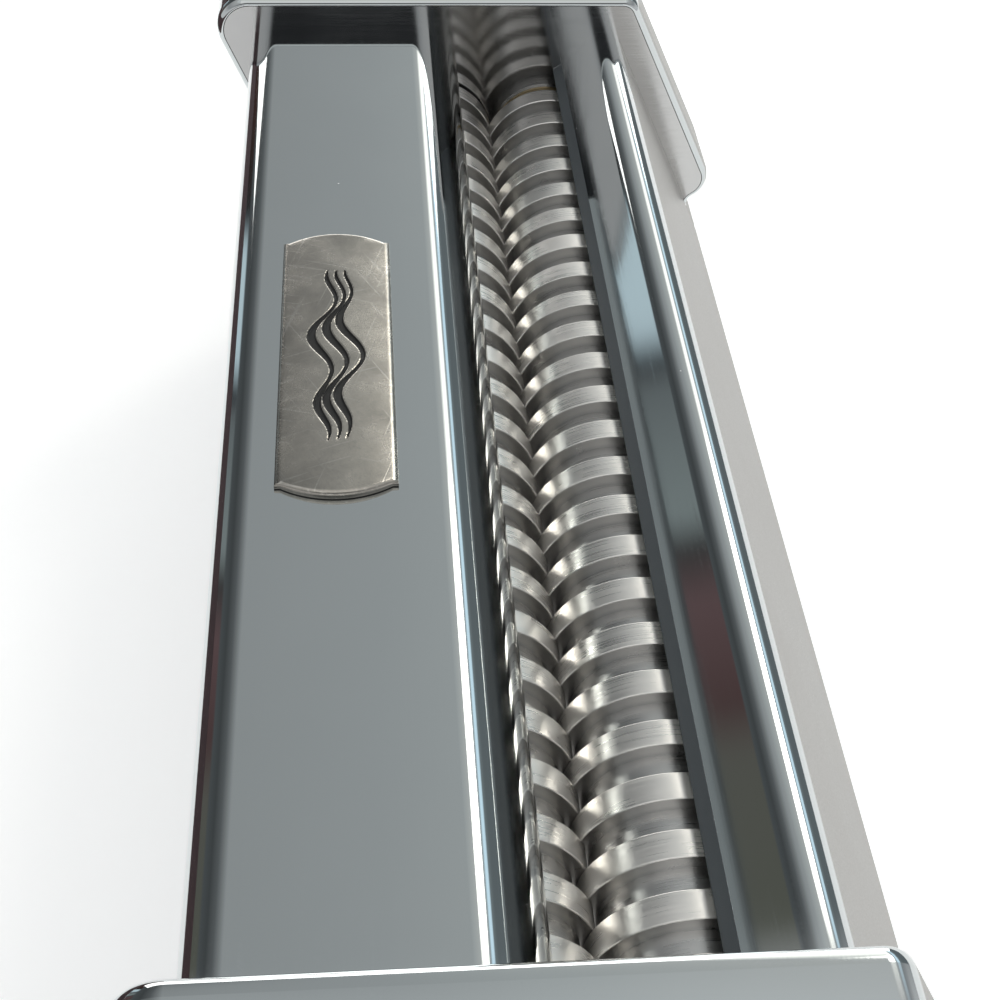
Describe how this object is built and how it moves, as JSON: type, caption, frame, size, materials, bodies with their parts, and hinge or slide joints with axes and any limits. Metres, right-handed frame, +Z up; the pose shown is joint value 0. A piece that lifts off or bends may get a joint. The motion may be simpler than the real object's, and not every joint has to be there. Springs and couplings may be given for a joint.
{
  "type": "pasta cutter head",
  "caption": "Chromed cutting head of a hand-cranked pasta machine: meshing grooved rollers under a V hopper between two end caps, with a badge and a crank socket.",
  "frame": {"origin": "centre of the head's footprint on the table, halfway along the rollers and 2 mm in front of their mid-plane", "axes": "+X along the rollers towards the crank end, +Y to the back that hangs on the machine, +Z up"},
  "size_m": [0.1904, 0.0756, 0.058],
  "materials": {
    "chrome": "polished chrome plate",
    "plate_steel": "polished steel plate",
    "badge_nickel": "satin nickel with fine scratches",
    "roller_steel": "turned satin steel",
    "gear_steel": "milled, oiled steel",
    "fastener_steel": "zinc-plated steel",
    "bronze": "sintered bronze",
    "nylon": "moulded nylon"
  },
  "bodies": {
    "housing": {"near_side_plate": "plate_steel", "far_side_plate": "plate_steel", "near_end_cap": "chrome", "far_end_cap": "chrome", "front_cover": "chrome", "rear_cover": "chrome", "badge_plate": "badge_nickel", "badge_rivets": "fastener_steel", "front_comb": "nylon", "rear_comb": "nylon", "top_tie_rod": "fastener_steel", "back_tie_rod": "fastener_steel", "front_comb_rod": "fastener_steel", "rear_comb_rod": "fastener_steel", "near_pillars": "fastener_steel", "far_pillars": "fastener_steel", "near_cap_screws": "fastener_steel", "far_cap_screws": "fastener_steel", "near_nuts": "fastener_steel", "far_nuts": "fastener_steel", "drive_bush_near": "bronze", "drive_bush_far": "bronze", "driven_bush_near": "bronze", "driven_bush_far": "bronze", "near_thrust_washers": "bronze", "far_thrust_washers": "bronze"},
    "drive": {"drive_roller": "roller_steel", "drive_gear": "gear_steel", "drive_gear_pin": "fastener_steel", "drive_circlip": "fastener_steel"},
    "driven": {"driven_roller": "roller_steel", "driven_gear": "gear_steel", "driven_gear_pin": "fastener_steel", "driven_circlip": "fastener_steel"}
  },
  "joints": [
    {"name": "drive_roller_spin", "type": "hinge", "parent": "housing", "child": "drive", "pos_m": [0, 0.0108, 0.036], "axis": [1, 0, 0], "continuous": true},
    {"name": "driven_roller_spin", "type": "hinge", "parent": "housing", "child": "driven", "pos_m": [0, -0.0068, 0.036], "axis": [1, 0, 0], "continuous": true}
  ],
  "couplings": [
    {"joint": "driven_roller_spin", "follows": "drive_roller_spin", "ratio": -1}
  ]
}
